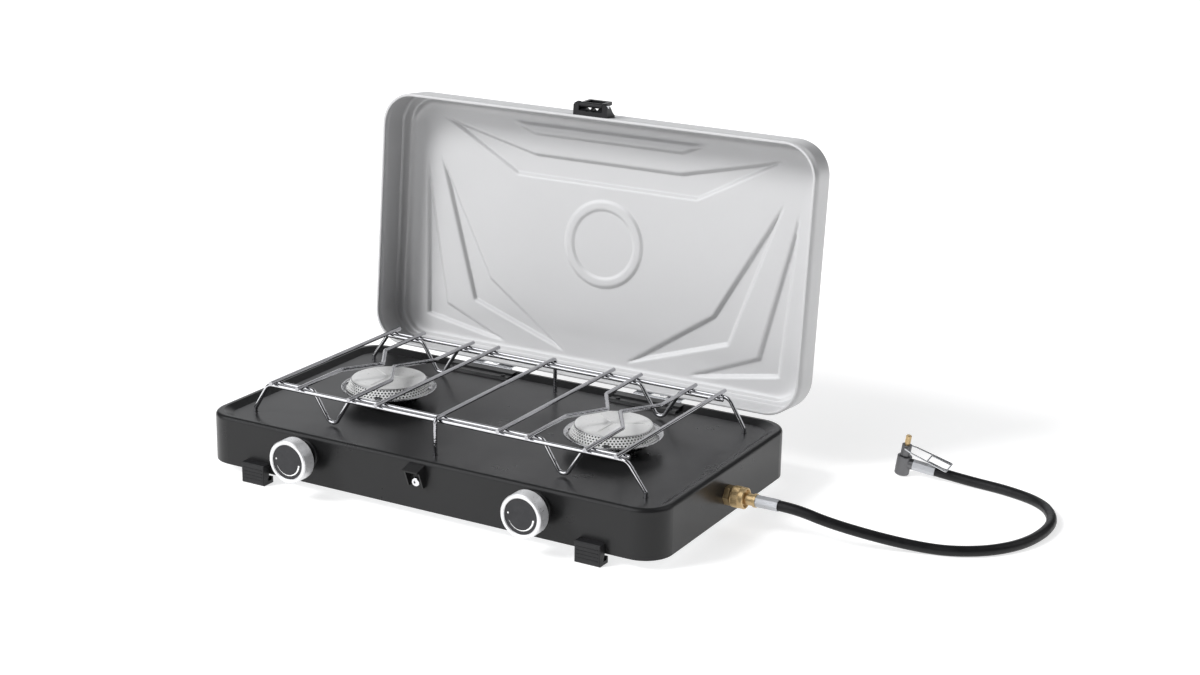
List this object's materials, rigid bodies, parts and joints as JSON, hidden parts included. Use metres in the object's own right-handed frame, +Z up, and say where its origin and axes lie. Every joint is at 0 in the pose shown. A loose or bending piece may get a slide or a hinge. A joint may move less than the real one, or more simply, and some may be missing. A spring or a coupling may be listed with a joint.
{
  "type": "camping stove",
  "caption": "Folding-lid gas hob: pressed casing with sunken burners, a lift-out wire pan support, front control knobs, a latch and a gas hose.",
  "frame": {"origin": "centre of the stove's own bounding box in plan, on the surface that the feet stand on; the hose and the connector on it are not counted", "axes": "+X along the front from left to right, towards the gas inlet; +Y from the front with the knobs to the rear with the hinges; +Z up"},
  "size_m": [0.7649, 0.395, 0.3414],
  "materials": {
    "casing_enamel": "semi-gloss black enamel",
    "lid_paint": "satin silver paint with a fine metallic grain",
    "base_steel": "dull galvanised sheet",
    "foot_plastic": "moulded black, fine texture",
    "chrome_wire": "bright plated wire",
    "burner_steel": "pressed and turned steel, satin",
    "dish_steel": "bright pressed steel",
    "brass": "machined, lightly tarnished",
    "knob_silver": "metallised satin",
    "knob_dark": "dark grey, fine texture",
    "latch_plastic": "moulded black",
    "bright_screw": "plated screws and rivets",
    "zinc_steel": "zinc plated hinge steel",
    "tube_aluminium": "plain drawn tube",
    "hose_rubber": "matte black, lightly ribbed",
    "ferrule_steel": "crimped plated steel",
    "elbow_zinc": "die-cast zinc, satin",
    "bail_wire": "sprung steel wire"
  },
  "bodies": {
    "base": {"casing_shell": "casing_enamel", "base_plate": "base_steel", "base_screws": "bright_screw", "front_foot_left": "foot_plastic", "front_foot_right": "foot_plastic", "rear_foot_left": "foot_plastic", "rear_foot_right": "foot_plastic", "latch_catch": "casing_enamel", "catch_screw": "bright_screw", "burner_dish_left": "dish_steel", "burner_dish_right": "dish_steel", "burner_head_left": "burner_steel", "burner_head_right": "burner_steel", "burner_cap_left": "burner_steel", "burner_cap_right": "burner_steel", "burner_nuts": "zinc_steel", "mixing_tube_left": "tube_aluminium", "mixing_tube_right": "tube_aluminium", "valve_body_left": "brass", "valve_body_right": "brass", "gas_jets": "brass", "knob_bezels": "foot_plastic", "gas_manifold": "tube_aluminium", "inlet_fitting": "brass", "inlet_locknut": "brass", "hinge_bridge_left": "casing_enamel", "hinge_bridge_right": "casing_enamel", "hinge_leaf_left": "zinc_steel", "hinge_leaf_right": "zinc_steel", "hinge_pins": "zinc_steel", "hinge_rivets": "bright_screw", "hose_tail": "brass", "inlet_ferrule": "ferrule_steel", "gas_hose": "hose_rubber", "connector_ferrule": "ferrule_steel", "connector_elbow": "elbow_zinc", "connector_nozzle": "brass"},
    "lid": {"lid_shell": "lid_paint", "lid_hinge_left": "zinc_steel", "lid_hinge_right": "zinc_steel", "lid_rivets": "bright_screw", "latch_base": "latch_plastic", "latch_pin": "zinc_steel"},
    "hasp": {"latch_hasp": "latch_plastic"},
    "knob_left": {"knob_ring_left": "knob_silver", "knob_core_left": "knob_dark", "valve_stem_left": "brass"},
    "knob_right": {"knob_ring_right": "knob_silver", "knob_core_right": "knob_dark", "valve_stem_right": "brass"},
    "pan_support": {"front_leg_rail": "chrome_wire", "rear_leg_rail": "chrome_wire", "front_dip_rail": "chrome_wire", "rear_dip_rail": "chrome_wire", "pan_rods_straight": "chrome_wire", "pan_rods_wide": "chrome_wire", "pan_rods_near": "chrome_wire", "pan_rod_centre": "chrome_wire"},
    "union_nut": {"union_nut": "brass"},
    "bail": {"connector_bail": "bail_wire"}
  },
  "joints": [
    {"name": "lid_hinge", "type": "hinge", "parent": "base", "child": "lid", "pos_m": [-0.01, 0.1196, 0.055], "axis": [1, 0, 0], "range_deg": [0, 95]},
    {"name": "hasp_pivot", "type": "hinge", "parent": "lid", "child": "hasp", "pos_m": [-0.01, 0.15201, 0.33825], "axis": [1, 0, 0], "range_deg": [0, 149]},
    {"name": "knob_left_turn", "type": "hinge", "parent": "base", "child": "knob_left", "pos_m": [-0.1379, -0.1824, 0.0398], "axis": [0, -1, 0], "range_deg": [0, 210]},
    {"name": "knob_right_turn", "type": "hinge", "parent": "base", "child": "knob_right", "pos_m": [0.1179, -0.1824, 0.0398], "axis": [0, -1, 0], "range_deg": [0, 210]},
    {"name": "pan_support_lift", "type": "slide", "parent": "base", "child": "pan_support", "axis": [0, 0, 1], "range_m": [0, 0.006]},
    {"name": "union_nut_turn", "type": "hinge", "parent": "base", "child": "union_nut", "pos_m": [0.253, -0.0254, 0.032], "axis": [1, 0, 0], "continuous": true},
    {"name": "bail_swing", "type": "hinge", "parent": "base", "child": "bail", "pos_m": [0.33154, 0.18919, 0.02986], "axis": [0.0894, -0.996, 0], "range_deg": [0, 95]}
  ]
}
